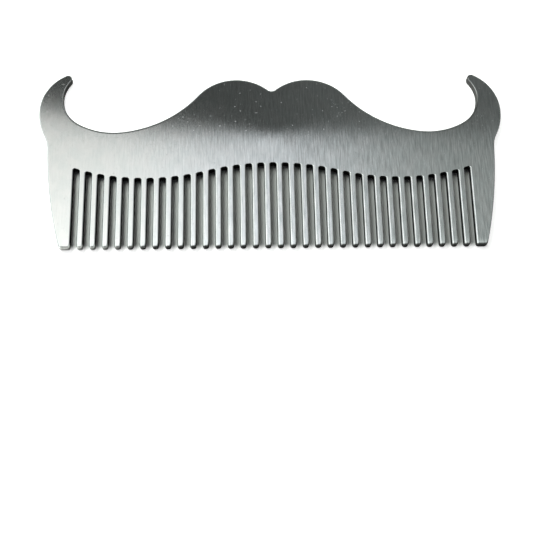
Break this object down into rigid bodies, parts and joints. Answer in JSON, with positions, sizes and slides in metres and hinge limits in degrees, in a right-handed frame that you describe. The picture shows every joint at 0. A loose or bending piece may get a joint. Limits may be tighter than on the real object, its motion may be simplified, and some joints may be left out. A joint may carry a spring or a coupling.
{
  "type": "beard comb",
  "caption": "Flat moustache-shaped beard comb with upswept horns, a two-humped spine and a wavy row of straight blunt teeth.",
  "frame": {"origin": "middle of the comb's footprint, on its back face", "axes": "+X along the row of teeth, +Y from the tooth tips to the spine, +Z through the sheet from the back face to the front face"},
  "size_m": [0.1118, 0.0446, 0.002],
  "materials": {
    "steel": "faces brushed from the teeth to the spine, edges tumbled smooth"
  },
  "bodies": {
    "root": {"comb_plate": "steel"}
  },
  "joints": []
}
